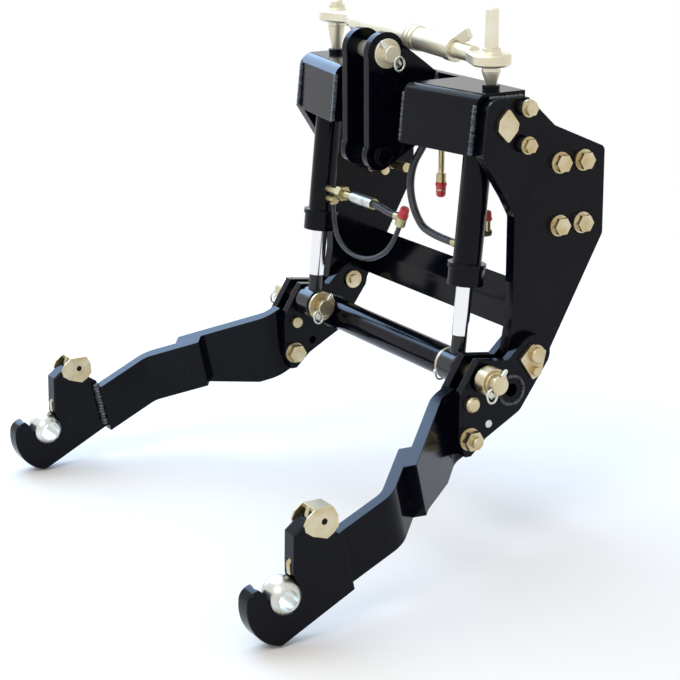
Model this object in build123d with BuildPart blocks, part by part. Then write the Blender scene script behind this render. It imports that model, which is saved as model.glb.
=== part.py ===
"""Tractor front linkage: a frame for the tractor's nose, a rocker swung by two cylinders,
two lift arms with quick hooks, and a top link stowed across the top.

Millimetres. +Z is up, -Y is forward, where the arms point, and +X is the tractor's left.
The origin is on the rocker's pivot line, midway between the side plates.
"""

import math
import os

from build123d import *

# Lateral positions
plate_mid = 264.0
cylinder_mid = 216.0
ball_mid = 412.5
mast_gap = 50.0
hood_inner = 100.0
post_x = 222.0

# Plate thicknesses and running gaps
plate_t = 20.0
bracket_t = 15.0
bracket_gap = 1.0
mast_t = 14.0
hood_t = 6.0
cross_t = 12.0
bore_gap = 0.05
seat_gap = 0.3

# Pivot points as (y, z); the rocker's pivot is the origin
arm_pivot = (-114.0, -113.0)
lock_point = (-111.0, -60.0)
spare_point = (-79.0, -96.0)
rod_point = (-88.0, -25.0)
tube_point = (-40.0, -50.0)
top_point = (-50.0, 342.0)
ball_point = (-498.0, -231.0)
mast_point = (-103.0, 423.0)
mast_low_point = (-114.0, 269.0)

# Pins, bolts and bores
pivot_pin_d = 30.0
rod_pin_d = 28.0
top_pin_d = 25.0
lock_pin_d = 18.0
spare_hole_d = 13.0
arm_bolt_d = 18.0
mast_pin_d = 25.4
mast_bolt_d = 16.0
rail_stud_d = 16.0
rail_shank_d = 18.0
rail_hole_d = 19.0
keeper_bolt_d = 12.0
pin_chamfer = 2.0

# Side plate
plate_lug_r = 38.0
plate_top_z = 381.0
plate_rear_y = 132.0
rail_bolt_mid = (71.0, 233.0)
rail_spacing_y = 42.0
rail_spacing_z = 94.0
rail_stud_len = 42.0
keeper_points = ((-14.0, 367.0), (-14.0, 313.0))
keeper_spacer = 9.0

# Rocker
bracket_lug_r = 29.0
tube_d = 50.0
tube_end_d = 42.0
tube_bore = 20.0
rod_bush_d = 44.0
rod_bush_len = 22.0
rod_flange_d = 36.0
rod_washer_d = 49.0
rod_washer_t = 5.0
linch_d = 7.0
linch_lean = (0.0, 0.66, 0.75)
flag_bolt = (-1.0, -25.0)
bracket_r = 25.0

# Arms
arm_t = 20.0
bar_fall = 0.47
bar_top_z = -134.0
bar_bottom_z = -220.5
bar_ref_y = -337.0
arm_lean = 12.0
front_bend_y = -319.0
tail_bend_y = -154.0
rear_bar_run = 164.0
front_bar_run = 102.0
plan_depth = 150.0
bend_r = 34.0
tail_r = 72.0
float_angle = 12.0
hook_t = 31.0
hook_set = 8.5

# Hook, ball and latch; hook_rear, hook_low and latch_pivot are measured from the ball
ball_d = 56.0
ball_bore = 28.7
ball_w = 45.0
mouth_angle = 118.0
hook_rear = (89.0, 73.0)
hook_low = 9.0
hook_round = 4.0
latch_pivot = (58.0, 100.0)
latch_top = 119.0
bridge_t = 6.0
tongue_t = 9.0
slot_gap = 0.5
cheek_t = 3.0
latch_rivet_d = 9.0

# Cylinders
rod_d = 25.0
rod_neck_d = 23.0
rod_eye_d = 50.0
rod_eye_w = 38.0
barrel_d = 43.0
barrel_wall = 5.0
gland_d = 54.0
gland_flange_d = 58.0
gland_low = 126.0
gland_len = 33.0
gland_flange_t = 7.0
top_eye_d = 48.0
top_eye_w = 36.0
top_eye_play = 3.5
top_eye_slot = 8.0
piston_len = 20.0
piston_at = 215.0

# Hood, mast and cross plates
hood_low_z = 299.0
hood_top_z = 388.0
hood_front_outer_y = -83.0
hood_front_inner_y = -110.0
hood_lean = 8.0
hood_bend_r = 18.0
cross_y = -12.0
mast_front_y = -134.0
mast_lug_r = 32.0
mast_low_r = 24.0
mast_rear_z = 402.0
low_plate_y = 37.0
low_plate_t = 8.0

# Top link and its posts
post_d = 20.0
post_play = 0.2
post_foot_d = 15.0
post_seat_d = 28.0
post_boss_d = 26.0
post_boss_h = 7.0
post_top_z = {1: 505.0, -1: 474.0}
link_y = -38.0
link_end_z = {1: 431.0, -1: 450.0}
link_tube_end = {1: 112.0, -1: -155.0}
link_ball_d = 36.0
link_ball_w = 34.0
link_collar_t = 3.5
link_ring_d = 58.0
link_ring_w = 18.0
link_taper = 45.0
link_screw_d = 25.0
link_wall = 4.7
link_nut_len = 18.0
screw_hold = 50.0

# Hydraulics; hoses are free routes of (x, y, z) points
hose_d = 12.0
loop_d = 8.0
port_d = 13.0
ferrule_d = 18.0
hose_y = -70.0
high_port_z = 171.0
low_port_z = 155.0
bend_share = 0.45
coupler_tip = (48.0, hose_y, 194.0)
right_hose_points = (
    (-52, hose_y, 171),
    (-34, hose_y, 171),
    (-4, hose_y, 165),
    (14, hose_y, 165),
)
right_loop_points = (
    (-180, hose_y, 148),
    (-180, hose_y, 110),
    (-153, hose_y, 82),
    (-106, hose_y, 73),
    (-52, hose_y, 81),
    (4, hose_y, 112),
    (26, hose_y, 153),
)
left_hose_points = (
    (176, hose_y, 155),
    (104, hose_y, 155),
    (70, -69, 176),
    (47.4, -66, 211),
    (46.5, -61, 249),
    (61.8, -52, 279),
    (74, -40, 312),
)

# Worked out from the sizes above
plate_in = plate_mid - plate_t / 2
plate_out = plate_mid + plate_t / 2
bracket_in_x = plate_in - bracket_gap - bracket_t
bracket_out_x = plate_out + bracket_gap
rocker_in = bracket_in_x
rocker_out = bracket_out_x + bracket_t


def side_plane(x):
    """A sketch plane that faces +X, with y across and z up, at the given x."""
    return Plane.YZ.offset(x)


def mirrored(piece):
    """The same piece on the tractor's other side."""
    with BuildPart() as other:
        mirror(piece.part, about=Plane.YZ)
    return other


def save(piece, label):
    """Write one named sub-part."""
    piece.part.label = label
    export_step(piece.part, f"parts/{label}.step")


def save_pair(piece, label):
    """Write a left piece and its mirror image on the right."""
    save(piece, f"left_{label}")
    save(mirrored(piece), f"right_{label}")


def on_line(point, length, angle):
    """The (y, z) point that lies a length away at an angle from +Y."""
    turn = math.radians(angle)
    return (point[0] + length * math.cos(turn), point[1] + length * math.sin(turn))


def bar_top(y):
    return bar_top_z + bar_fall * (y - bar_ref_y)


def bar_bottom(y):
    return bar_bottom_z + bar_fall * (y - bar_ref_y)


def turned(x, point, steps):
    """A stack of cylinders along +X from x: steps are (diameter, length)."""
    with BuildPart() as stack:
        for diameter, length in steps:
            with BuildSketch(side_plane(x)):
                with Locations(point):
                    Circle(diameter / 2)
            extrude(amount=length)
            x += length
    return stack.part


def linch_plane(x, point):
    """A sketch plane across a linch pin where it crosses the middle of a larger pin."""
    return Plane(origin=(x, *point), x_dir=(1, 0, 0), z_dir=linch_lean)


def hexagon(x, point, across_flats, height):
    """A hexagonal head or nut that stands on the plane at x, towards +X."""
    with BuildPart() as head:
        with BuildSketch(side_plane(x)):
            with Locations(point):
                RegularPolygon(across_flats / 2, 6, major_radius=False)
        extrude(amount=height)
    return head.part


os.makedirs("parts", exist_ok=True)

# Side plate: tall plate with a forward nose at the top and a round lug at the pivot
with BuildPart() as side_plate:
    with BuildSketch(side_plane(plate_in)):
        with BuildLine():
            Polyline(
                (-85, hood_low_z),
                (-76, plate_top_z),
                (-8, plate_top_z),
                (40, 336),
                (plate_rear_y, 296),
                (plate_rear_y, 165),
                (plate_lug_r - 2, -10),
                (0, 0),
                (-plate_lug_r + 1, 8),
                (-29, 52),
                (-28, 206),
                (-43, 234),
                close=True,
            )
        make_face()
        Circle(plate_lug_r)
    extrude(amount=plate_t)
    corners = side_plate.edges().filter_by(Axis.X).filter_by_position(Axis.Z, 160, 340)
    fillet(corners, radius=10)
    front_corner = side_plate.edges().filter_by(Axis.X).group_by(Axis.Z)[-1].sort_by(Axis.Y)[0]
    fillet(front_corner, radius=hood_bend_r)
    with BuildSketch(side_plane(plate_in)):
        Circle(pivot_pin_d / 2 + bore_gap)
        with Locations(top_point):
            Circle(top_pin_d / 2)
        with Locations(*keeper_points):
            Circle(keeper_bolt_d / 2)
        with Locations(rail_bolt_mid):
            with GridLocations(rail_spacing_y, rail_spacing_z, 2, 2):
                Circle(rail_hole_d / 2)
    extrude(amount=plate_t, mode=Mode.SUBTRACT)
save_pair(side_plate, "side_plate")

# Hood: folded cover, open below, with an ear inside that carries the top pin's inner end
ear_x = cylinder_mid - barrel_d / 2 - 1 - hood_t
with BuildPart() as hood:
    with BuildSketch(Plane.XY.offset(hood_low_z)):
        with BuildLine():
            Polyline(
                (hood_inner, cross_y),
                (hood_inner, hood_front_inner_y - hood_lean),
                (plate_in, hood_front_outer_y - hood_lean),
                (plate_in, cross_y),
                close=True,
            )
        make_face()
    with BuildSketch(Plane.XY.offset(hood_top_z)):
        with BuildLine():
            Polyline(
                (hood_inner, cross_y),
                (hood_inner, hood_front_inner_y),
                (plate_in, hood_front_outer_y),
                (plate_in, cross_y),
                close=True,
            )
        make_face()
    loft(ruled=True)
    front_top = hood.edges().group_by(Axis.Z)[-1].sort_by(Axis.Y)[0]
    fillet(front_top, radius=hood_bend_r)
    open_faces = [hood.faces().sort_by(Axis.Z)[0], hood.faces().sort_by(Axis.Y)[-1]]
    offset(amount=-hood_t, openings=open_faces + [hood.faces().sort_by(Axis.X)[-1]])
    with BuildSketch(side_plane(ear_x)):
        with BuildLine():
            Polyline(
                (cross_y, hood_top_z - hood_t / 2),
                (cross_y, top_point[1] - 26),
                (top_point[0] - 22, top_point[1] - 26),
                (top_point[0] - 22, hood_top_z - hood_t / 2),
                close=True,
            )
        make_face()
    extrude(amount=hood_t)
    with BuildSketch(side_plane(ear_x)):
        with Locations(top_point):
            Circle(top_pin_d / 2)
    extrude(amount=hood_t, mode=Mode.SUBTRACT)
    with BuildSketch(Plane.XY.offset(hood_top_z)):
        with Locations((post_x, link_y)):
            Circle(post_boss_d / 2)
    extrude(amount=post_boss_h)
save_pair(hood, "hood")

# Mast plate: two lugs on its front edge, welded to the cross plate behind
mast_in = mast_gap / 2
with BuildPart() as mast_plate:
    with BuildSketch(side_plane(mast_in)):
        with BuildLine():
            Polyline(
                (mast_point[0] - mast_lug_r + 1, mast_point[1]),
                (mast_point[0], mast_point[1] + mast_lug_r),
                (mast_point[0] + 26, mast_point[1] + 14),
                (-30, mast_rear_z),
                (cross_y, hood_top_z),
                (cross_y, hood_low_z),
                (mast_low_point[0] + 14, mast_low_point[1] - 20),
                (mast_low_point[0], mast_low_point[1]),
                (mast_front_y, mast_low_point[1]),
                close=True,
            )
        make_face()
        with Locations(mast_point):
            Circle(mast_lug_r)
        with Locations(mast_low_point):
            Circle(mast_low_r)
    extrude(amount=mast_t)
    with BuildSketch(side_plane(mast_in)):
        with Locations(mast_point):
            Circle(mast_pin_d / 2 + bore_gap)
        with Locations(mast_low_point):
            Circle(mast_bolt_d / 2)
    extrude(amount=mast_t, mode=Mode.SUBTRACT)
save_pair(mast_plate, "mast_plate")

# Cross plate behind the hoods and the mast, and the low plate between the side plates
with BuildPart() as cross_plate:
    with BuildSketch(Plane.XZ.offset(-cross_y)):
        with Locations((0, (hood_low_z + hood_top_z) / 2)):
            Rectangle(2 * plate_in, hood_top_z - hood_low_z)
    extrude(amount=-cross_t)
save(cross_plate, "cross_plate")

with BuildPart() as low_plate:
    with BuildSketch(side_plane(-plate_in)):
        with BuildLine():
            FilletPolyline(
                (low_plate_y, 6),
                (low_plate_y + 6, 40),
                (low_plate_y + 24, 76),
                radius=20,
            )
        trace(line_width=low_plate_t)
    extrude(amount=2 * plate_in)
save(low_plate, "low_plate")

# Bolts that hold the side plate to the tractor's rail, with studs that stand inboard
with BuildPart() as rail_bolts:
    for place in GridLocations(rail_spacing_y, rail_spacing_z, 2, 2).locations:
        spot = (rail_bolt_mid[0] + place.position.X, rail_bolt_mid[1] + place.position.Y)
        steps = [(rail_stud_d, rail_stud_len), (rail_shank_d, plate_t)]
        add(turned(plate_in - rail_stud_len, spot, steps))
        add(turned(plate_out, spot, [(32, 4)]))
        add(hexagon(plate_out + 4, spot, 24, 10))
save_pair(rail_bolts, "rail_bolts")

# Cylinder top pin with the diamond plate that keeps it, and the bolts beside it
with BuildPart() as top_pin:
    add(turned(ear_x, top_point, [(top_pin_d, plate_out - ear_x)]))
    with BuildSketch(side_plane(plate_out)):
        with BuildLine():
            Polyline(
                (top_point[0] + 4, top_point[1] + 27),
                (top_point[0] + 22, top_point[1] + 4),
                (top_point[0] + 20, top_point[1] - 7),
                (top_point[0] + 4, top_point[1] - 24),
                (top_point[0] - 14, top_point[1] - 5),
                (top_point[0] - 12, top_point[1] + 10),
                close=True,
            )
        make_face()
        fillet(vertices(), radius=4)
    extrude(amount=7)
save_pair(top_pin, "top_pin")

with BuildPart() as keeper_bolts:
    for spot in keeper_points:
        add(turned(plate_in, spot, [(keeper_bolt_d, plate_t)]))
        add(turned(plate_out, spot, [(20, keeper_spacer), (26, 3)]))
        add(hexagon(plate_out + keeper_spacer + 3, spot, 19, 8))
save_pair(keeper_bolts, "keeper_bolts")

# Mast pin, with its washer and linch pin on the left plate, and the lower mast bolt
mast_out = mast_in + mast_t
with BuildPart() as mast_pin:
    add(turned(-mast_out - 8, mast_point, [(38, 8), (mast_pin_d, 2 * mast_out + 20)]))
    chamfer(mast_pin.edges().filter_by(GeomType.CIRCLE).sort_by(Axis.X)[-1], length=pin_chamfer)
    add(turned(mast_out, mast_point, [(50, 5)]))
    with BuildSketch(linch_plane(mast_out + 12, mast_point).offset(-30)):
        Circle(linch_d / 2)
    extrude(amount=60, mode=Mode.SUBTRACT)
save(mast_pin, "mast_pin")

with BuildPart() as mast_bolt:
    add(turned(-mast_out - 5, mast_low_point, [(30, 5), (mast_bolt_d, 2 * mast_out + 5), (30, 4)]))
    add(hexagon(mast_out + 4, mast_low_point, 24, 12))
save(mast_bolt, "mast_bolt")

# Bracket plate: lug at the pivot, open toe towards the arm, bored for the rod pin and the tube
with BuildPart() as inner_bracket:
    with BuildSketch(side_plane(bracket_in_x)):
        with BuildLine():
            Polyline(
                (-120, -141),
                (-132, -108),
                (-132, -49),
                (-99, 4),
                (-46, -3),
                (-18, 23),
                (27, -12),
                (-24, -84),
                (-84, -117),
                (-110, -141),
                close=True,
            )
        make_face()
        Circle(bracket_lug_r)
        low_corners = vertices().filter_by_position(Axis.Z, -145, -80)
        fillet(low_corners, radius=7)
        fillet(vertices().filter_by_position(Axis.Y, -101, -40), radius=bracket_r)
    extrude(amount=bracket_t)
    with BuildSketch(side_plane(bracket_in_x)):
        Circle(pivot_pin_d / 2)
        with Locations(tube_point):
            Circle(tube_end_d / 2)
        with Locations(rod_point):
            Circle(rod_pin_d / 2)
        with Locations(arm_pivot):
            Circle(arm_bolt_d / 2)
        with Locations(lock_point):
            Circle(lock_pin_d / 2)
        with Locations(spare_point):
            Circle(spare_hole_d / 2)
    extrude(amount=bracket_t, mode=Mode.SUBTRACT)
save_pair(inner_bracket, "inner_bracket")

with BuildPart() as outer_bracket:
    add(Pos(X=bracket_out_x - bracket_in_x) * inner_bracket.part)
save_pair(outer_bracket, "outer_bracket")

with BuildPart() as cross_tube:
    steps = [(tube_end_d, rocker_out - rocker_in), (tube_d, 2 * rocker_in)]
    add(turned(-rocker_out, tube_point, steps + steps[:1]))
    add(turned(-rocker_out, tube_point, [(tube_bore, 2 * rocker_out)]), mode=Mode.SUBTRACT)
save(cross_tube, "cross_tube")

# Pivot pin with the flag plate that a small bolt holds to the outer bracket
with BuildPart() as pivot_pin:
    steps = [(16, 4), (pivot_pin_d, rocker_out - rocker_in + 11), (24, 8)]
    add(turned(rocker_in - 9, (0, 0), steps))
    chamfer(pivot_pin.edges().filter_by(GeomType.CIRCLE).group_by(Axis.X)[-1], length=pin_chamfer)
    with BuildSketch(side_plane(rocker_out)):
        with BuildLine():
            Polyline((-28, -4), (-5, -38), (10, -31), (18, 4), (-6, 17), close=True)
        make_face()
        fillet(vertices(), radius=3)
    extrude(amount=6)
    add(hexagon(rocker_out + 6, flag_bolt, 13, 6))
save_pair(pivot_pin, "pivot_pin")

# Rod pin: bush and flange outside, long plain end inboard that carries the rod's eye
eye_in = cylinder_mid - rod_eye_w / 2
rod_pin_in = eye_in - rod_washer_t - 22
rod_pin_out = rocker_out + rod_bush_len + 18
with BuildPart() as rod_pin:
    add(turned(rod_pin_in, rod_point, [(rod_pin_d, rod_pin_out - rod_pin_in)]))
    chamfer(rod_pin.edges().filter_by(GeomType.CIRCLE), length=pin_chamfer)
    for hole_x in (rod_pin_in + 12, rod_pin_out - 8):
        with BuildSketch(linch_plane(hole_x, rod_point).offset(-30)):
            Circle(linch_d / 2)
        extrude(amount=60, mode=Mode.SUBTRACT)
    add(turned(eye_in - seat_gap - rod_washer_t, rod_point, [(rod_washer_d, rod_washer_t)]))
    add(turned(rocker_out, rod_point, [(rod_bush_d, rod_bush_len), (rod_flange_d, 4)]))
save_pair(rod_pin, "rod_pin")


def linch_pin(x, point):
    """A linch pin through a cross hole: a straight shank with a knob that its ring hangs on."""
    shank = linch_plane(x, point)
    with BuildPart() as clip:
        with BuildSketch(shank.offset(-26)):
            Circle(linch_d / 2)
        extrude(amount=52)
        with BuildSketch(shank.offset(-26)):
            Circle(linch_d / 2 + 3)
        extrude(amount=9)
    return clip.part


with BuildPart() as rod_linch_pins:
    add(linch_pin(rod_pin_in + 12, rod_point))
    add(linch_pin(rod_pin_out - 8, rod_point))
save_pair(rod_linch_pins, "rod_linch_pins")

with BuildPart() as mast_linch_pin:
    add(linch_pin(mast_out + 12, mast_point))
save(mast_linch_pin, "mast_linch_pin")

# Lock pin that stands in the arm's slot, and the bolt that the arm turns on
with BuildPart() as lock_pin:
    steps = [(lock_pin_d, rocker_out - rocker_in + 8), (24, 9)]
    add(turned(rocker_in - 8, lock_point, steps))
    chamfer(lock_pin.edges().filter_by(GeomType.CIRCLE).group_by(Axis.X)[-1], length=3)
save_pair(lock_pin, "lock_pin")

with BuildPart() as arm_bolt:
    add(hexagon(rocker_in - 15, arm_pivot, 27, 12))
    steps = [(34, 3), (arm_bolt_d, rocker_out - rocker_in), (34, 3), (arm_bolt_d, 24)]
    add(turned(rocker_in - 3, arm_pivot, steps))
    add(hexagon(rocker_out + 3, arm_pivot, 27, 14))
    chamfer(arm_bolt.faces().sort_by(Axis.X)[-1].edges(), length=pin_chamfer)
save_pair(arm_bolt, "arm_bolt")

# Lift arm: two bars that lap where they splay outwards. Their bends and ends lean with the
# hook's rear face, so the plan lies on a leaning plane and is crossed with the side outline.
lean_across = math.sin(math.radians(arm_lean))
lean_up = math.cos(math.radians(arm_lean))
plan_plane = Plane(
    origin=(0, bar_ref_y, bar_top_z), x_dir=(1, 0, 0), z_dir=(0, -lean_across, lean_up)
)


def plan_y(y, z):
    """Where a side point (y, z) falls along the leaning plan."""
    return (y - bar_ref_y) * lean_up + (z - bar_top_z) * lean_across


def stepped(point, forward, run):
    """The plan point that lies a run further along the splayed stretch."""
    return (point[0] + run * forward[0], point[1] + run * forward[1])


bar_mid = ball_mid - hook_set - arm_t / 2
tail_bend = (plate_mid, plan_y(tail_bend_y, bar_top(tail_bend_y)))
front_bend = (bar_mid, plan_y(front_bend_y, bar_top(front_bend_y)))
straight_angle = math.atan2(bar_mid - plate_mid, tail_bend[1] - front_bend[1])
arm_splay = straight_angle + math.asin(arm_t / math.dist(tail_bend, front_bend))
splay_forward = (math.sin(arm_splay), -math.cos(arm_splay))
hook_rear_top = (ball_point[0] + hook_rear[0], ball_point[1] + hook_rear[1])

with BuildPart() as arm_rear_bar:
    with BuildSketch(plan_plane.offset(-plan_depth)):
        with BuildLine():
            FilletPolyline(
                (plate_mid, plan_y(-40, bar_top(-40))),
                tail_bend,
                stepped(tail_bend, splay_forward, rear_bar_run),
                radius=bend_r,
            )
        trace(line_width=arm_t)
    extrude(amount=2 * plan_depth)
    with BuildSketch(side_plane(plate_mid - 40)):
        with BuildLine():
            Polyline(
                on_line(arm_pivot, tail_r, 40),
                (-57, -92),
                (-66, -112),
                (-112, -145),
                (-160, -169),
                (-236, bar_bottom(-236)),
                (-300, bar_bottom(-300)),
                (-300, bar_top(-300)),
                (-132, bar_top(-132)),
                on_line(arm_pivot, tail_r, 100),
            )
            ThreePointArc(
                on_line(arm_pivot, tail_r, 100),
                on_line(arm_pivot, tail_r, 70),
                on_line(arm_pivot, tail_r, 40),
            )
        make_face()
        with Locations(arm_pivot):
            Circle(arm_bolt_d / 2 + bore_gap, mode=Mode.SUBTRACT)
        with Locations(spare_point):
            Circle(spare_hole_d / 2, mode=Mode.SUBTRACT)
        lock_r = math.dist(arm_pivot, lock_point)
        lock_angle = math.degrees(
            math.atan2(lock_point[1] - arm_pivot[1], lock_point[0] - arm_pivot[0])
        )
        with BuildLine(mode=Mode.PRIVATE) as slot_path:
            CenterArc(arm_pivot, lock_r, lock_angle, float_angle)
        SlotArc(slot_path.edges()[0], lock_pin_d + 2 * seat_gap, mode=Mode.SUBTRACT)
    extrude(amount=260, mode=Mode.INTERSECT)
save_pair(arm_rear_bar, "arm_rear_bar")

with BuildPart() as arm_front_bar:
    with BuildSketch(plan_plane.offset(-plan_depth)):
        with BuildLine():
            FilletPolyline(
                (bar_mid, plan_y(*hook_rear_top)),
                front_bend,
                stepped(front_bend, splay_forward, -front_bar_run),
                radius=bend_r,
            )
        trace(line_width=arm_t)
    extrude(amount=2 * plan_depth)
    with BuildSketch(side_plane(plate_mid)):
        with BuildLine():
            Polyline(
                (-440, bar_top(-440)),
                (-440, bar_bottom(-440)),
                (-200, bar_bottom(-200)),
                (-200, bar_top(-200)),
                close=True,
            )
        make_face()
    extrude(amount=260, mode=Mode.INTERSECT)
save_pair(arm_front_bar, "arm_front_bar")


def ball_plane(x):
    """A sketch plane that faces +X at the given x, with the ball's centre as its origin."""
    return Plane(origin=(x, *ball_point), x_dir=(0, 1, 0), z_dir=(1, 0, 0))


# Hook: forged claw with a ball seat, a mouth that leans forward, and a blind slot for the
# latch behind its front wall. Its outline is measured from the ball's centre.
hook_x = ball_mid - hook_t / 2
seat_r = ball_d / 2 + seat_gap
latch_point = (ball_point[0] + latch_pivot[0], ball_point[1] + latch_pivot[1])
cheek_x = hook_t / 2 + seat_gap
cheek_out = cheek_x + cheek_t
with BuildPart() as hook:
    with BuildSketch(ball_plane(hook_x)):
        with BuildLine():
            Polyline(
                (-26, 7),
                (-12, -7),
                (13, -7),
                (13, 45),
                (14, 87),
                (38, 106),
                hook_rear,
                (hook_rear[0] + (hook_rear[1] + hook_low) * lean_across / lean_up, -hook_low),
                (-10, -68),
            )
            ThreePointArc((-10, -68), (-45, -45), (-58, 0))
            TangentArc((-58, 0), (-40, 20), tangent=(0, 1))
            Line((-40, 20), (-26, 7))
        make_face()
    extrude(amount=hook_t)
    claw_edges = hook.faces().filter_by(Axis.X).edges().filter_by(GeomType.CIRCLE)
    fillet(claw_edges, radius=hook_round)
    outline = hook.faces().filter_by(Axis.X).edges()
    post_edges = outline.filter_by_position(Axis.Y, ball_point[0] + 10, ball_point[0] + 30)
    fillet(post_edges.filter_by_position(Axis.Z, ball_point[1] + 20, 0), radius=hook_round)
    with Locations((ball_mid, *ball_point)):
        Sphere(seat_r, mode=Mode.SUBTRACT)
    mouth = on_line((0, 0), 1, mouth_angle)
    with BuildSketch(Plane(origin=(ball_mid, *ball_point), x_dir=(1, 0, 0), z_dir=(0, *mouth))):
        Circle(seat_r)
    extrude(amount=90, mode=Mode.SUBTRACT)
    slot_w = tongue_t + 2 * slot_gap
    with BuildSketch(ball_plane(ball_mid - slot_w / 2)):
        with BuildLine():
            Polyline(
                (36, 126),
                (36, 100),
                (26, 71),
                (8, 42),
                (16, 9),
                (58, 9),
                (62, 71),
                (86, 101),
                (86, 126),
                close=True,
            )
        make_face()
    extrude(amount=slot_w, mode=Mode.SUBTRACT)
    add(turned(ball_mid - cheek_out, latch_point, [(latch_rivet_d, 2 * cheek_out)]))
save_pair(hook, "hook")

# Latch: tongue over the ball, and a folded head that straddles the hook on its rivet
with BuildPart() as latch:
    with BuildSketch(ball_plane(ball_mid - tongue_t / 2)):
        with BuildLine():
            Polyline(
                (11, 43),
                (12, 28),
                (23, 26),
                (40, 59),
                (66, 89),
                (72, 109),
                (72, latch_top),
                (44, latch_top),
                (40, 107),
                (28, 71),
                close=True,
            )
        make_face()
    extrude(amount=tongue_t)
    for side in (-1, 1):
        with BuildSketch(ball_plane(ball_mid + side * cheek_x)):
            with BuildLine():
                Polyline(
                    (27, 99),
                    (32, 109),
                    (44, latch_top),
                    (72, latch_top),
                    (79, 106),
                    (80, 90),
                    (72, 81),
                    (62, 75),
                    (40, 82),
                    (29, 90),
                    close=True,
                )
            make_face()
        extrude(amount=side * cheek_t)
    with BuildSketch(Plane.XY.offset(ball_point[1] + latch_top - bridge_t)):
        with Locations((ball_mid, ball_point[0] + 58)):
            Rectangle(2 * cheek_out, 28)
    extrude(amount=bridge_t)
    fillet(latch.edges().filter_by(Axis.Y).group_by(Axis.Z)[-1], radius=cheek_t - 0.5)
    with BuildSketch(side_plane(ball_mid - cheek_out)):
        with Locations(latch_point):
            Circle(latch_rivet_d / 2 + bore_gap)
    extrude(amount=2 * cheek_out, mode=Mode.SUBTRACT)
save_pair(latch, "latch")

with BuildPart() as ball:
    with Locations((ball_mid, *ball_point)):
        Sphere(ball_d / 2, rotation=(0, 90, 0))
    with BuildSketch(ball_plane(ball_mid - ball_w / 2)):
        Circle(ball_d)
        Circle(ball_bore / 2, mode=Mode.SUBTRACT)
    extrude(amount=ball_w, mode=Mode.INTERSECT)
save_pair(ball, "ball")

# Cylinder: the axis runs from the rod pin up to the top pin inside the hood
axis_plane = Plane(
    origin=(cylinder_mid, *rod_point),
    x_dir=(1, 0, 0),
    z_dir=(0, top_point[0] - rod_point[0], top_point[1] - rod_point[1]),
)
cylinder_len = math.dist(rod_point, top_point)
gland_top = gland_low + gland_len
bore_end = cylinder_len - top_eye_d / 2 - 12


def along(start, length, diameter):
    """A cylinder on the hydraulic axis, from a start above the rod pin."""
    with BuildPart() as piece:
        with BuildSketch(axis_plane.offset(start)):
            Circle(diameter / 2)
        extrude(amount=length)
    return piece.part


with BuildPart() as rod:
    add(along(0, gland_low - 60, rod_neck_d))
    add(along(rod_eye_d / 2 + 24, piston_at - rod_eye_d / 2 - 24, rod_d))
    add(along(piston_at, piston_len, barrel_d - 2 * barrel_wall - 2 * bore_gap))
    with BuildSketch(side_plane(eye_in)):
        with Locations(rod_point):
            Circle(rod_eye_d / 2)
    extrude(amount=rod_eye_w)
    eye_faces = rod.faces().filter_by(Axis.X)
    chamfer(eye_faces.edges().filter_by(GeomType.CIRCLE), length=1.5)
    with BuildSketch(side_plane(eye_in)):
        with Locations(rod_point):
            Circle(rod_pin_d / 2 + bore_gap)
    extrude(amount=rod_eye_w, mode=Mode.SUBTRACT)
save_pair(rod, "rod")

with BuildPart() as barrel:
    barrel_low = gland_low + gland_len / 2
    add(along(barrel_low, cylinder_len - barrel_low - 18, barrel_d))
    add(along(gland_low, gland_len, gland_d))
    add(along(gland_top - gland_flange_t, gland_flange_t, gland_flange_d))
    with BuildSketch(side_plane(cylinder_mid - top_eye_w / 2)):
        with Locations(top_point, (top_point[0] - top_eye_slot, top_point[1])):
            Circle(top_eye_d / 2)
    extrude(amount=top_eye_w)
    add(along(gland_low, gland_top - gland_low, rod_d + 2 * bore_gap), mode=Mode.SUBTRACT)
    bore = along(gland_top, bore_end - gland_top, barrel_d - 2 * barrel_wall)
    add(bore, mode=Mode.SUBTRACT)
    with BuildSketch(side_plane(cylinder_mid - top_eye_w / 2)):
        slot_mid = (top_point[0] - top_eye_slot / 2, top_point[1])
        with Locations(slot_mid):
            SlotCenterToCenter(top_eye_slot, top_pin_d + 2 * top_eye_play)
    extrude(amount=top_eye_w, mode=Mode.SUBTRACT)
save_pair(barrel, "barrel")

# Hydraulic fittings on the barrels: ports, a crimped hose end, and couplers with a plain nose
barrel_skin = along(gland_top, bore_end - gland_top, barrel_d)


def spigot(start, end, steps):
    """Cylinders from a start towards an end point: steps are (diameter, length)."""
    place = Plane(origin=start, z_dir=Vector(*end) - Vector(*start))
    with BuildPart() as stack:
        for diameter, length in steps:
            with BuildSketch(place):
                Circle(diameter / 2)
            extrude(amount=length)
            place = place.offset(length)
    return stack.part


with BuildPart() as right_fittings:
    add(turned(-cylinder_mid, (hose_y, high_port_z), [(port_d, cylinder_mid - 158)]))
    add(hexagon(-158, (hose_y, high_port_z), 22, 14))
    add(turned(-144, (hose_y, high_port_z), [(port_d, 30), (ferrule_d, 62)]))
    add(turned(-cylinder_mid, (hose_y, low_port_z), [(port_d, cylinder_mid - 173)]))
    add(spigot((-180, hose_y, low_port_z), right_loop_points[0], [(11, low_port_z - 148)]))
    add(spigot(right_loop_points[-1], coupler_tip, [(17, 16), (13, 12)]))
    add(turned(right_hose_points[-1][0], (hose_y, right_hose_points[-1][2]), [(port_d, 16)]))
    add(mirror(barrel_skin, about=Plane.YZ, mode=Mode.PRIVATE), mode=Mode.SUBTRACT)
save(right_fittings, "right_fittings")

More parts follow.
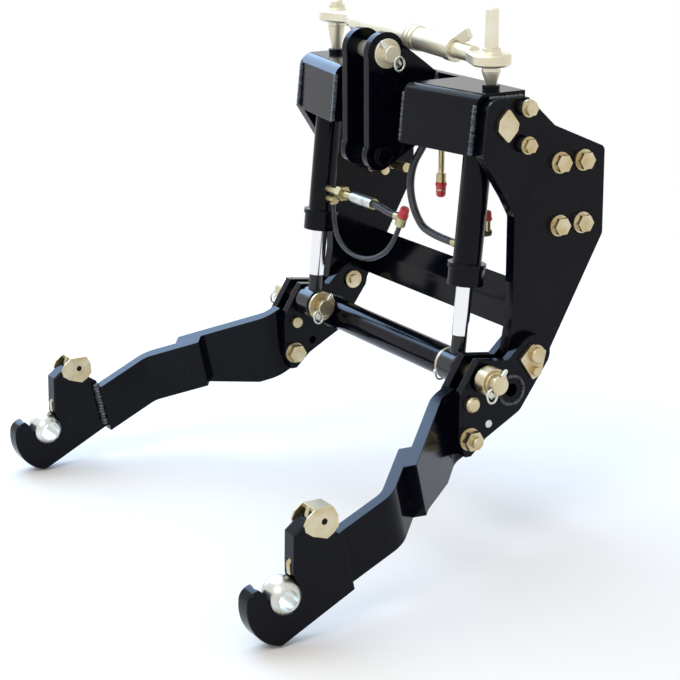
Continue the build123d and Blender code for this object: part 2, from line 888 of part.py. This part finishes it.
with BuildPart() as left_fittings:
    add(turned(176, (hose_y, low_port_z), [(port_d, cylinder_mid - 176)]))
    add(spigot(left_hose_points[-1], (86.2, -28, 345), [(20, 24)]))
    add(turned(79, (-35, 326), [(10, 16)]))
    add(spigot((90, -35, 326), (94, -39, 216), [(9, 84), (15, 26), (12, 8)]))
    add(spigot((207, -66, 172), (207, -26, 172), [(port_d, 40)]))
    add(spigot((207, -32, 172), (207, -32, 200), [(port_d, 22), (11, 10)]))
    add(barrel_skin, mode=Mode.SUBTRACT)
save(left_fittings, "left_fittings")


def hose(points, diameter):
    """A hose along straight runs with round turns between them."""
    spots = [Vector(*point) for point in points]
    runs = [after - before for before, after in zip(spots, spots[1:])]
    radii = []
    for run, following in zip(runs, runs[1:]):
        half_turn = math.radians(run.get_angle(following)) / 2
        radii.append(bend_share * min(run.length, following.length) / math.tan(half_turn))
    print("Turns in diameters:", [round(radius / diameter, 1) for radius in radii])
    with BuildPart() as tube:
        with BuildLine() as route:
            FilletPolyline(*spots, radius=radii)
        with BuildSketch(Plane(origin=spots[0], z_dir=runs[0])):
            Circle(diameter / 2)
        sweep(path=route.wire())
    return tube


save(hose(right_hose_points, hose_d), "right_hose")
save(hose(right_loop_points, loop_d), "right_loop")
save(hose(left_hose_points, hose_d), "left_hose")

# Top link stowed across the hoods: each end's ball sits over a post
link_slope = (link_end_z[1] - link_end_z[-1]) / (2 * post_x)
link_z = (link_end_z[1] + link_end_z[-1]) / 2
link_plane = Plane(
    origin=(0, link_y, link_z),
    x_dir=(0, 1, 0),
    z_dir=(1, 0, link_slope),
)


def link_step(start, end, diameter):
    """A turned stretch of the top link between two distances from its middle."""
    with BuildPart() as piece:
        with BuildSketch(link_plane.offset(start)):
            Circle(diameter / 2)
        extrude(amount=end - start)
    return piece.part


for side, label in ((1, "left"), (-1, "right")):
    eye_z = link_end_z[side]
    ball_low = eye_z - link_ball_w / 2
    foot_low = hood_top_z + post_boss_h
    foot_len = ball_low - seat_gap - foot_low
    with BuildPart() as post:
        with Locations((side * post_x, link_y, foot_low)):
            Cone(
                post_foot_d / 2,
                post_seat_d / 2,
                foot_len,
                align=(Align.CENTER, Align.CENTER, Align.MIN),
            )
        with BuildSketch(Plane.XY.offset(foot_low + foot_len)):
            with Locations((side * post_x, link_y)):
                Circle(post_d / 2)
        extrude(amount=post_top_z[side] - foot_low - foot_len)
        chamfer(post.faces().sort_by(Axis.Z)[-1].edges(), length=pin_chamfer)
    save(post, f"{label}_post")

    with BuildPart() as link_end:
        with BuildSketch(Plane.XY.offset(eye_z - link_ring_w / 2)):
            with Locations((side * post_x, link_y)):
                Circle(link_ring_d / 2)
            with Locations((side * (post_x - link_taper), link_y)):
                Circle(link_screw_d / 2)
            make_hull()
        extrude(amount=link_ring_w)
        chamfer(link_end.faces().filter_by(Axis.Z).edges(), length=3)
        inner = post_x - link_taper
        screw_in = link_tube_end[side] - side * screw_hold
        add(link_step(min(screw_in, side * inner), max(screw_in, side * inner), link_screw_d))
        with Locations((side * post_x, link_y, eye_z)):
            Sphere(link_ball_d / 2 + seat_gap, mode=Mode.SUBTRACT)
    save(link_end, f"{label}_link_end")

    with BuildPart() as link_ball:
        with Locations((side * post_x, link_y, eye_z)):
            Sphere(link_ball_d / 2)
        with BuildSketch(Plane.XY.offset(ball_low)):
            with Locations((side * post_x, link_y)):
                Circle(link_ball_d)
        extrude(amount=link_ball_w, mode=Mode.INTERSECT)
        with BuildSketch(Plane.XY.offset(ball_low)):
            with Locations((side * post_x, link_y)):
                Circle(post_d / 2 + post_play + link_collar_t)
        extrude(amount=link_ball_w)
        with BuildSketch(Plane.XY.offset(ball_low)):
            with Locations((side * post_x, link_y)):
                Circle(post_d / 2 + post_play)
        extrude(amount=link_ball_w, mode=Mode.SUBTRACT)
    save(link_ball, f"{label}_link_ball")

link_tube_d = link_screw_d + 2 * (seat_gap + link_wall)
with BuildPart() as link_tube:
    add(link_step(link_tube_end[-1], link_tube_end[1], link_tube_d))
    for ring in (4, 14, 24):
        add(link_step(ring, ring + 6, link_tube_d + 4))
    bore = link_step(link_tube_end[-1], link_tube_end[1], link_screw_d + 2 * seat_gap)
    add(bore, mode=Mode.SUBTRACT)
save(link_tube, "link_tube")

nut_start = link_tube_end[1] + 1
with BuildPart() as link_nut:
    add(link_step(nut_start, nut_start + link_nut_len, link_tube_d + 3))
    tab_z = link_z + nut_start * link_slope
    with BuildSketch(Plane.XZ.offset(-link_y - 3)):
        with BuildLine():
            Polyline(
                (nut_start + 2, tab_z + 14),
                (nut_start + 18, tab_z + 19),
                (nut_start + 47, tab_z + 33),
                (nut_start + 56, tab_z + 22),
                (nut_start + 46, tab_z + 14),
                close=True,
            )
        make_face()
    extrude(amount=6)
    add(link_step(nut_start, nut_start + link_nut_len, link_screw_d + 2 * seat_gap), mode=Mode.SUBTRACT)
save(link_nut, "link_nut")
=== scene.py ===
"""Tractor front linkage: gloss black plates and arms, yellow zinc pins and latches, cream
plated top link, chrome rods, black hoses and brass fittings, on a plain pale floor."""

import math

import bmesh
import bpy
from mathutils import Matrix, Vector


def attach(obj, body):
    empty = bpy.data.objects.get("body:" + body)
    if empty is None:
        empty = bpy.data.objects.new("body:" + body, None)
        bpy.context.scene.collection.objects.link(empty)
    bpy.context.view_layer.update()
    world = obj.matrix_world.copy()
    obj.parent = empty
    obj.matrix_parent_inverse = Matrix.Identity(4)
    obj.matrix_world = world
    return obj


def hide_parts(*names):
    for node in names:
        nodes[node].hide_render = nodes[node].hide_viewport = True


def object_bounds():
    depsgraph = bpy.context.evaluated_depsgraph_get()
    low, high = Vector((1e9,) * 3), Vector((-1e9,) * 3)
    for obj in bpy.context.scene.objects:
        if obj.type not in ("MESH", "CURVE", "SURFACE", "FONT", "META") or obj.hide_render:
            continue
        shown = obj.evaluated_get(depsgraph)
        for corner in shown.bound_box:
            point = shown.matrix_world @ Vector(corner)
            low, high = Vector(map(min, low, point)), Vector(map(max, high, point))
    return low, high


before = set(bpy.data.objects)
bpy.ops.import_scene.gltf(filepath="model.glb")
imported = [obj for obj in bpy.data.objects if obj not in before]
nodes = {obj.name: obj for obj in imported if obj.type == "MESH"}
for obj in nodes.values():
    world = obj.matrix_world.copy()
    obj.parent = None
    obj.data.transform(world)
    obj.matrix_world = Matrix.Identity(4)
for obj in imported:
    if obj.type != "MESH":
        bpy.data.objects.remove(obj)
cad_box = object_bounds()

# The camera stands to the front left of the linkage and a little above the arms, far enough
# off that the near side plate is only a quarter larger than the far one.
camera_place = Vector((2.6318, -1.6966, 0.8511))
camera_azimuth = math.radians(59.78)
camera_elevation = math.radians(16.06)
camera_roll = math.radians(-0.30)
half_picture, focal_length = 340, 2025.1  # in pixels
view_angle = 2 * math.atan(half_picture / focal_length)

ahead = Vector(
    (
        -math.sin(camera_azimuth) * math.cos(camera_elevation),
        math.cos(camera_azimuth) * math.cos(camera_elevation),
        -math.sin(camera_elevation),
    )
)
level_right = Vector((math.cos(camera_azimuth), math.sin(camera_azimuth), 0))
level_up = level_right.cross(ahead)
image_right = level_right * math.cos(camera_roll) + level_up * math.sin(camera_roll)
image_up = level_up * math.cos(camera_roll) - level_right * math.sin(camera_roll)
camera_data = bpy.data.cameras.new("camera")
camera_data.angle = view_angle
camera_data.clip_end = 50
camera = bpy.data.objects.new("camera", camera_data)
bpy.context.scene.collection.objects.link(camera)
camera.matrix_world = Matrix(
    (
        (image_right.x, image_up.x, -ahead.x, camera_place.x),
        (image_right.y, image_up.y, -ahead.y, camera_place.y),
        (image_right.z, image_up.z, -ahead.z, camera_place.z),
        (0, 0, 0, 1),
    )
)
bpy.context.scene.camera = camera


class Value:
    """A shader socket that can be used in a Python expression."""

    def __init__(self, paint, socket):
        self.paint = paint
        self.socket = socket

    def _math(self, operation, left, right):
        return self.paint.node("ShaderNodeMath", {"operation": operation}, {0: left, 1: right})

    def __add__(self, other):
        return self._math("ADD", self, other)

    __radd__ = __add__

    def __rsub__(self, other):
        return self._math("SUBTRACT", other, self)

    def __mul__(self, other):
        return self._math("MULTIPLY", self, other)

    def between(self, low, high):
        """0 at low and 1 at high, and held there beyond."""
        return self.paint.node(
            "ShaderNodeMapRange", {"clamp": True}, {0: self, 1: low, 2: high, 3: 0.0, 4: 1.0}
        )


class Paint:
    """One material, built node by node."""

    def __init__(self, name):
        self.material = bpy.data.materials.new(name)
        self.material.use_nodes = True
        self.tree = self.material.node_tree
        self.shader = self.tree.nodes["Principled BSDF"]

    def node(self, kind, settings, inputs, output=0):
        made = self.tree.nodes.new(kind)
        for name, setting in settings.items():
            setattr(made, name, setting)
        for key, value in inputs.items():
            socket = made.inputs[key]
            if isinstance(value, Value):
                self.tree.links.new(value.socket, socket)
            elif isinstance(value, tuple) and len(value) == 3 and socket.type == "RGBA":
                socket.default_value = (*value, 1)
            else:
                socket.default_value = value
        return Value(self, made.outputs[output])

    def place(self):
        return self.node("ShaderNodeTexCoord", {}, {}, "Object")

    def axis(self, name):
        """How far a point lies along X, Y or Z."""
        return self.node("ShaderNodeSeparateXYZ", {}, {0: self.place()}, name)

    def noise(self, scale, detail=2.0, roughness=0.5):
        inputs = {"Vector": self.place(), "Scale": scale, "Detail": detail, "Roughness": roughness}
        return self.node("ShaderNodeTexNoise", {}, inputs)

    def mix(self, share, first, second):
        inputs = {"Factor": share, 6: first, 7: second}
        return self.node("ShaderNodeMix", {"data_type": "RGBA"}, inputs, 2)

    def bump(self, height, strength, distance, edge=0.0):
        """Fine relief, on edges that are rounded to a radius where one is given."""
        inputs = {"Height": height, "Strength": strength, "Distance": distance}
        if edge:
            inputs["Normal"] = self.node("ShaderNodeBevel", {"samples": 6}, {"Radius": edge})
        return self.node("ShaderNodeBump", {}, inputs)

    def set(self, **sockets):
        for name, value in sockets.items():
            socket = self.shader.inputs[name.replace("_", " ")]
            if isinstance(value, Value):
                self.tree.links.new(value.socket, socket)
            elif isinstance(value, tuple) and len(value) == 3:
                socket.default_value = (*value, 1)
            else:
                socket.default_value = value
        return self.material


# Three hydraulic hoses, black rubber over steel braid, stiff enough to hold their own arcs.
# Two hang between the right cylinder's ports and a coupler, one climbs behind the left one.
rubber = Paint("hose_rubber")
weave = rubber.noise(900.0, 1.0)
rubbed = rubber.noise(45.0, 3.0).between(0.4, 0.7)
hose_rubber = rubber.set(
    Base_Color=rubber.mix(rubbed, (0.010, 0.011, 0.016), (0.030, 0.031, 0.038)),
    Roughness=0.30 + rubbed * 0.15,
    Normal=rubber.bump(weave, 0.2, 0.0004),
)


def hose(name, body, diameter, points):
    """A hose on one smooth line, whose control points are its route's points."""
    line = bpy.data.curves.new(name, "CURVE")
    line.dimensions = "3D"
    line.bevel_depth = diameter / 2
    line.bevel_resolution = 5
    line.resolution_u = 16
    line.use_fill_caps = True
    route = line.splines.new("NURBS")
    route.points.add(len(points) - 1)
    for spot, point in zip(route.points, points):
        spot.co = (*point, 1)
    route.order_u = 3
    route.use_endpoint_u = True
    line.materials.append(hose_rubber)
    made = bpy.data.objects.new(name + "_cord", line)
    bpy.context.scene.collection.objects.link(made)
    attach(made, body)
    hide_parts(name)


hose(
    "right_hose",
    "right_barrel",
    0.012,
    (
        (-0.058, -0.070, 0.171),
        (-0.034, -0.070, 0.171),
        (-0.004, -0.070, 0.165),
        (0.014, -0.070, 0.165),
    ),
)
hose(
    "right_loop",
    "right_barrel",
    0.008,
    (
        (-0.180, -0.070, 0.148),
        (-0.180, -0.070, 0.110),
        (-0.153, -0.070, 0.082),
        (-0.106, -0.070, 0.073),
        (-0.052, -0.070, 0.081),
        (0.004, -0.070, 0.112),
        (0.026, -0.070, 0.153),
    ),
)
hose(
    "left_hose",
    "left_barrel",
    0.012,
    (
        (0.176, -0.070, 0.155),
        (0.104, -0.070, 0.155),
        (0.070, -0.069, 0.176),
        (0.0474, -0.066, 0.211),
        (0.0465, -0.061, 0.249),
        (0.0618, -0.052, 0.279),
        (0.074, -0.040, 0.312),
    ),
)


def paint_nodes(material, *names):
    """Give CAD nodes a material; a name without a side means the left and the right one."""
    for name in names:
        for full in (name, f"left_{name}", f"right_{name}"):
            if full in nodes:
                nodes[full].data.materials.clear()
                nodes[full].data.materials.append(material)


def finished(name, mesh, material, body):
    """Make a finished mesh an object that rides on a CAD body."""
    bmesh.ops.recalc_face_normals(mesh, faces=mesh.faces)
    data = bpy.data.meshes.new(name)
    mesh.to_mesh(data)
    mesh.free()
    data.shade_smooth()
    data.set_sharp_from_angle(angle=math.radians(35))
    data.materials.append(material)
    made = bpy.data.objects.new(name, data)
    bpy.context.scene.collection.objects.link(made)
    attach(made, body)
    return made


def turned(mesh, start, end, steps):
    """Spin a profile of (share of the way, radius) steps round the line from start to end."""
    start, way = Vector(start), Vector(end) - Vector(start)
    across = way.orthogonal().normalized()
    stations = [(0.0, 0.0)] + list(steps) + [(1.0, 0.0)]
    spots = [mesh.verts.new(start + way * share + across * radius) for share, radius in stations]
    edges = [mesh.edges.new(pair) for pair in zip(spots, spots[1:])]
    bmesh.ops.spin(
        mesh,
        geom=spots + edges,
        cent=start,
        axis=way.normalized(),
        angle=2 * math.pi,
        steps=24,
        use_merge=True,
    )
    bmesh.ops.remove_doubles(mesh, verts=mesh.verts, dist=1e-6)


# Hose fittings: brass elbows and couplers, with a bright crimped ferrule on the short hose.
# They are CAD solids; only the three dust caps of soft red plastic are added here.
brass = Paint("fitting_brass")
ferrule = brass.axis("X").between(-0.1145, -0.1135) * (1 - brass.axis("X").between(-0.053, -0.052))
stain = brass.noise(70.0, 3.0).between(0.35, 0.7)
fitting_brass = brass.set(
    Base_Color=brass.mix(
        ferrule,
        brass.mix(stain, (0.58, 0.50, 0.28), (0.42, 0.36, 0.18)),
        brass.mix(stain, (0.70, 0.70, 0.68), (0.42, 0.42, 0.42)),
    ),
    Metallic=1.0,
    Roughness=0.28 + stain * 0.14,
    Normal=brass.bump(brass.noise(400.0, 2.0), 0.1, 0.0003, 0.0006),
)
paint_nodes(fitting_brass, "fittings")

cap = Paint("red_cap")
faded = cap.noise(60.0, 3.0).between(0.4, 0.7)
red_cap = cap.set(
    Base_Color=cap.mix(faded, (0.50, 0.020, 0.030), (0.62, 0.10, 0.11)),
    Roughness=0.35 + faded * 0.15,
    Normal=cap.bump(cap.noise(500.0, 2.0), 0.1, 0.0003),
)
cap_profile = (
    (0.0, 0.0078),
    (0.12, 0.0088),
    (0.22, 0.0088),
    (0.26, 0.0078),
    (0.80, 0.0074),
    (0.94, 0.0062),
    (1.0, 0.0040),
)
for cap_name, cap_body, cap_start, cap_end in (
    ("coupler_cap_right", "right_barrel", (0.0338, -0.070, 0.1676), (0.0418, -0.070, 0.1826)),
    ("coupler_cap_left", "left_barrel", (0.0935, -0.0385, 0.229), (0.0942, -0.0392, 0.206)),
    ("port_cap_left", "left_barrel", (0.207, -0.032, 0.190), (0.207, -0.032, 0.2055)),
):
    cap_mesh = bmesh.new()
    turned(cap_mesh, cap_start, cap_end, cap_profile)
    finished(cap_name, cap_mesh, red_cap, cap_body)

# Plates, hoods, brackets and arms are flame-cut steel welded together, under gloss black
# paint with a slight orange peel, rounded edges and a film of dust that dulls it in patches.
black = Paint("black_paint")
dust = black.noise(7.0, 5.0, 0.6).between(0.45, 0.8)
scuffs = black.noise(60.0, 6.0, 0.7).between(0.60, 0.72)
gloss_black = black.set(
    Base_Color=black.mix(
        scuffs * 0.4,
        black.mix(dust, (0.0012, 0.0016, 0.0045), (0.0035, 0.0040, 0.0070)),
        (0.02, 0.02, 0.025),
    ),
    Roughness=0.12 + dust * 0.08 + scuffs * 0.10,
    IOR=1.24,
    Normal=black.bump(black.noise(350.0, 2.0), 0.12, 0.0003, 0.0016),
)
paint_nodes(
    gloss_black,
    "side_plate",
    "hood",
    "mast_plate",
    "cross_plate",
    "low_plate",
    "inner_bracket",
    "outer_bracket",
    "cross_tube",
    "arm_rear_bar",
    "arm_front_bar",
    "hook",
    "barrel",
    "mast_bolt",
)

# Weld beads stand proud in ripples under the same paint; patches of greyer colour on them are
# painted highlight.
bead = Paint("weld_paint")
# Random patches where the beads are coloured greyer: painted highlight.
weld_highlight_patches = bead.noise(160.0, 3.0).between(0.35, 0.65)
weld_paint = bead.set(
    Base_Color=bead.mix(weld_highlight_patches, (0.004, 0.005, 0.008), (0.09, 0.10, 0.12)),
    Roughness=0.20 + weld_highlight_patches * 0.15,
    IOR=1.6,
    Normal=bead.bump(bead.noise(700.0, 2.0), 0.3, 0.0004),
)


def weld(mesh, width, path):
    """Ripples of weld metal laid one over the next along a path of corners."""
    for start, end in zip(path, path[1:]):
        start, run = Vector(start), Vector(end) - Vector(start)
        count = max(2, round(run.length / (width * 0.42)))
        turn = run.to_track_quat("Z", "Y").to_matrix().to_4x4()
        for step in range(count):
            wander = math.sin(2.4 * step + 90 * start.z)
            size = width * (0.50 + 0.05 * wander)
            ripple = Matrix.Diagonal((size, size, 0.6 * size, 1))
            place = Matrix.Translation(start + run * ((step + 0.5) / count))
            bmesh.ops.create_uvsphere(
                mesh, u_segments=8, v_segments=6, radius=1, matrix=place @ turn @ ripple
            )


def round_path(centre, radius, x):
    """Corners of a ring round (y, z) in the plane at x, for a weld round a tube."""
    turns = [math.radians(15 * step) for step in range(25)]
    return [
        (x, centre[0] + radius * math.cos(turn), centre[1] + radius * math.sin(turn))
        for turn in turns
    ]


for side, side_name in ((1, "left"), (-1, "right")):
    frame_welds = bmesh.new()
    weld(frame_welds, 0.008, [(side * 0.2520, -0.0935, 0.302), (side * 0.2520, -0.0855, 0.372)])
    weld(frame_welds, 0.007, [(side * 0.2560, -0.064, 0.3805), (side * 0.2560, -0.006, 0.3805)])
    weld(frame_welds, 0.007, [(side * 0.1005, -0.1165, 0.302), (side * 0.1005, -0.1095, 0.374)])
    weld(frame_welds, 0.007, [(side * 0.1000, -0.013, 0.302), (side * 0.1000, -0.013, 0.386)])
    weld(frame_welds, 0.008, [(side * 0.0400, -0.013, 0.300), (side * 0.0400, -0.013, 0.387)])
    finished(f"{side_name}_frame_welds", frame_welds, weld_paint, "frame")

    rocker_welds = bmesh.new()
    weld(rocker_welds, 0.006, round_path((-0.040, -0.050), 0.0215, side * 0.2902))
    weld(rocker_welds, 0.007, round_path((-0.040, -0.050), 0.0255, side * 0.2370))
    finished(f"{side_name}_rocker_welds", rocker_welds, weld_paint, "rocker")

    arm_welds = bmesh.new()
    weld(arm_welds, 0.006, [(side * 0.4050, -0.408, -0.160), (side * 0.4050, -0.3925, -0.233)])
    weld(arm_welds, 0.013, [(side * 0.3935, -0.4115, -0.162), (side * 0.3935, -0.396, -0.235)])
    finished(f"{side_name}_arm_welds", arm_welds, weld_paint, f"{side_name}_arm")

# Pins, bolts and latches are yellow zinc plated: a straw colour that runs from pale to gold.
zinc = Paint("yellow_zinc")
tone = zinc.noise(38.0, 3.0).between(0.35, 0.7)
yellow_zinc = zinc.set(
    Base_Color=zinc.mix(tone, (0.66, 0.59, 0.42), (0.52, 0.41, 0.21)),
    Metallic=1.0,
    Roughness=0.28 + tone * 0.12,
    Normal=zinc.bump(zinc.noise(300.0, 2.0), 0.12, 0.0003, 0.0008),
)
paint_nodes(
    yellow_zinc,
    "rail_bolts",
    "top_pin",
    "keeper_bolts",
    "pivot_pin",
    "lock_pin",
    "arm_bolt",
    "latch",
)


# The hitch balls are bright plated steel, and the top link, its balls and the posts are cream.
pale = Paint("ball_zinc")
cloud = pale.noise(30.0, 3.0).between(0.3, 0.75)
ball_zinc = pale.set(
    Base_Color=pale.mix(cloud, (0.72, 0.74, 0.70), (0.56, 0.57, 0.50)),
    Metallic=1.0,
    Roughness=0.24 + cloud * 0.10,
    Normal=pale.bump(pale.noise(260.0, 2.0), 0.08, 0.0003, 0.0008),
)
paint_nodes(ball_zinc, "ball")

cream = Paint("cream_zinc")
bloom = cream.noise(22.0, 4.0).between(0.35, 0.7)
cream_zinc = cream.set(
    Base_Color=cream.mix(bloom, (0.84, 0.80, 0.66), (0.72, 0.66, 0.48)),
    Metallic=0.85,
    Roughness=0.34 + bloom * 0.12,
    Normal=cream.bump(cream.noise(220.0, 3.0), 0.15, 0.0004, 0.0010),
)
paint_nodes(cream_zinc, "post", "link_end", "link_ball", "link_tube", "link_nut")


def shaft(mesh, x, point, steps):
    """Spin a stepped pin along X from x: steps are (radius, length), with small chamfers."""
    total = sum(length for radius, length in steps)
    profile, done, chamfer = [], 0.0, 0.0008
    for radius, length in steps:
        profile += [
            (done / total, radius - chamfer),
            ((done + chamfer) / total, radius),
            ((done + length - chamfer) / total, radius),
            ((done + length) / total, radius - chamfer),
        ]
        done += length
    turned(mesh, (x, *point), (x + total, *point), profile)


# The rod pins and the mast pin are turned with a shoulder washer, and a linch pin crosses
# each free end; its spring ring is folded down over the washer.
rod_point = (-0.088, -0.025)
mast_point = (-0.103, 0.423)
up_lean = Vector((0.0, 0.66, 0.75)).normalized()


def linch_pin(mesh, x, point, lean):
    """A linch pin across the end of a pin at x: a shank, its head, and the folded ring."""
    middle = Vector((x, *point))
    shank = ((0.0, 0.0062), (0.17, 0.0068), (0.18, 0.0036), (0.93, 0.0034), (1.0, 0.0018))
    turned(mesh, middle - lean * 0.023, middle + lean * 0.026, shank)
    outward = math.copysign(0.0065, x if abs(x) > 0.2 else 1.0)
    heart = middle - lean * 0.019 + Vector((outward, 0, 0))
    ring = [
        heart + Vector((0, 0.0085 * math.cos(turn), 0.0105 * math.sin(turn)))
        for turn in (math.radians(20 * step) for step in range(18))
    ]
    for spot, following in zip(ring, ring[1:] + ring[:1]):
        reach = (following - spot) * 0.12
        turned(mesh, spot - reach, following + reach, ((0.0, 0.0017), (1.0, 0.0017)))


# From the inner end outward: the end, the washer, the shank, the bush and a thin washer. The
# left pin is placed from its inner washer, and the right one from its outer end.
inner_washer_x, outer_washer_x = 0.1917, 0.316
inner_end, outer_end = (0.014, 0.014), (0.014, 0.011)
rod_pin_steps = [inner_end, (0.0245, 0.005), (0.014, 0.0983), (0.022, 0.022), (0.018, 0.004)]
inner_clip_gap, outer_clip_gap = 0.0075, 0.006

for side, side_name in ((1, "left"), (-1, "right")):
    pin_mesh = bmesh.new()
    if side == 1:
        shaft(pin_mesh, inner_washer_x - inner_end[1], rod_point, rod_pin_steps + [outer_end])
    else:
        outer_x = -outer_washer_x - outer_end[1]
        shaft(pin_mesh, outer_x, rod_point, [outer_end] + rod_pin_steps[::-1])
    pin_name = f"{side_name}_rod_pin"
    rod_pin = finished(pin_name + "_turned", pin_mesh, yellow_zinc, "rocker")
    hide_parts(pin_name)
    clip_mesh = bmesh.new()
    linch_pin(clip_mesh, side * (inner_washer_x - inner_clip_gap), rod_point, up_lean)
    linch_pin(clip_mesh, side * (outer_washer_x + outer_clip_gap), rod_point, up_lean)
    clips = finished(f"{side_name}_rod_clips", clip_mesh, ball_zinc, "rocker")
    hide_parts(f"{side_name}_rod_linch_pins")

    # A pale disc sits in the spare hole of each outer bracket as a painted light spot.
    light_spot_mesh = bmesh.new()
    light_spot_profile = ((0.0, 0.0062), (0.9, 0.0062), (1.0, 0.0050))
    light_spot_ends = [(side * x, -0.079, -0.096) for x in (0.280, 0.2908)]
    turned(light_spot_mesh, *light_spot_ends, light_spot_profile)
    finished(f"{side_name}_spare_hole_light_spot", light_spot_mesh, ball_zinc, "rocker")

# The mast pin's steps are its head, its shank between the plates, the washer and the end.
mast_pin_steps = [(0.019, 0.008), (0.0127, 0.078), (0.0225, 0.005), (0.0127, 0.013)]
mast_mesh = bmesh.new()
shaft(mast_mesh, -0.047, mast_point, mast_pin_steps)
mast_pin = finished("mast_pin_turned", mast_mesh, cream_zinc, "frame")
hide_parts("mast_pin")
mast_lean = Vector((0.0, -0.62, 0.78)).normalized()
mast_clip_mesh = bmesh.new()
linch_pin(mast_clip_mesh, 0.0505, mast_point, mast_lean)
mast_clip = finished("mast_clip", mast_clip_mesh, ball_zinc, "frame")
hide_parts("mast_linch_pin")

# Cylinder rods are ground and hard chromed; the eye and the neck below them are painted.
chrome = Paint("rod_chrome")
up_rod = (chrome.axis("Y") + 0.088) * 0.103 + (chrome.axis("Z") + 0.025) * 0.9947
bright = up_rod.between(0.0485, 0.0495)
ground = chrome.noise(90.0, 2.0)
rod_chrome = chrome.set(
    Base_Color=chrome.mix(bright, (0.004, 0.005, 0.008), (0.88, 0.90, 0.93)),
    Metallic=bright,
    Roughness=0.16 - bright * 0.05 + ground * 0.05,
    Normal=chrome.bump(chrome.noise(300.0, 2.0), 0.04, 0.0002, 0.0010),
)
paint_nodes(rod_chrome, "rod")

# The floor is one pale sweep that fades to plain white away from the linkage, under an even
# white sky. A soft lamp stands in front, and two wide cool ones, overhead and at the far side,
# draw a bluish sheen on the upward faces and edges.
floor_z = cad_box[0][2] - 0.002
floor_mesh = bmesh.new()
bmesh.ops.create_grid(floor_mesh, x_segments=1, y_segments=1, size=12)
bmesh.ops.translate(floor_mesh, verts=floor_mesh.verts, vec=(0, 0, floor_z))
floor_data = bpy.data.meshes.new("floor")
floor_mesh.to_mesh(floor_data)
floor_mesh.free()
floor = bpy.data.objects.new("floor", floor_data)
bpy.context.scene.collection.objects.link(floor)
floor_paint = Paint("floor_paint")
rays = [
    floor_paint.node("ShaderNodeLightPath", {}, {}, ray)
    for ray in ("Is Camera Ray", "Is Glossy Ray", "Is Transmission Ray")
]
length_of = {"operation": "LENGTH"}
away = floor_paint.node("ShaderNodeVectorMath", length_of, {0: floor_paint.place()}, 1)
far_off = away.between(0.7, 1.9) * (rays[0] + rays[1] + rays[2]).between(0.0, 1.0)
floor_data.materials.append(
    floor_paint.set(
        Base_Color=floor_paint.mix(far_off, (0.95, 0.90, 0.85), (0, 0, 0)),
        Emission_Color=floor_paint.mix(far_off, (0, 0, 0), (1, 1, 1)),
        Emission_Strength=1.0,
        Roughness=1.0,
        Specular_IOR_Level=0.0,
    )
)

world = bpy.data.worlds.new("studio")
bpy.context.scene.world = world
world.use_nodes = True
sky = world.node_tree
sky_path = sky.nodes.new("ShaderNodeLightPath")
sky_shade = sky.nodes["Background"]
sky_shade.inputs["Color"].default_value = (0.96, 0.98, 1.0, 1)
sky_shade.inputs["Strength"].default_value = 0.72
sky_seen = sky.nodes.new("ShaderNodeBackground")
sky_seen.inputs["Color"].default_value = (1, 1, 1, 1)
sky_mix = sky.nodes.new("ShaderNodeMixShader")
seen = sky_path.outputs["Is Camera Ray"]
for ray in ("Is Glossy Ray", "Is Transmission Ray"):
    either = sky.nodes.new("ShaderNodeMath")
    either.operation = "MAXIMUM"
    sky.links.new(seen, either.inputs[0])
    sky.links.new(sky_path.outputs[ray], either.inputs[1])
    seen = either.outputs[0]
sky.links.new(seen, sky_mix.inputs[0])
sky.links.new(sky_shade.outputs[0], sky_mix.inputs[1])
sky.links.new(sky_seen.outputs[0], sky_mix.inputs[2])
sky.links.new(sky_mix.outputs[0], sky.nodes["World Output"].inputs["Surface"])

for lamp_name, lamp_place, lamp_size, lamp_power, lamp_colour in (
    ("key_lamp", (2.2, -3.4, 4.0), 2.2, 60, (1, 0.98, 0.95)),
    ("sky_lamp", (-1.6, -0.2, 3.4), 3.2, 80, (0.60, 0.79, 1.0)),
    ("edge_lamp", (-4.0, 0.0, 1.7), 3.0, 150, (0.38, 0.62, 1.0)),
):
    lamp_data = bpy.data.lights.new(lamp_name, "AREA")
    lamp_data.size = lamp_size
    lamp_data.energy = lamp_power
    lamp_data.color = lamp_colour
    lamp = bpy.data.objects.new(lamp_name, lamp_data)
    lamp.location = lamp_place
    lamp.rotation_euler = (-Vector(lamp_place)).to_track_quat("-Z", "Y").to_euler()
    lamp.visible_camera = False
    bpy.context.scene.collection.objects.link(lamp)

bpy.context.scene.view_settings.view_transform = "Standard"
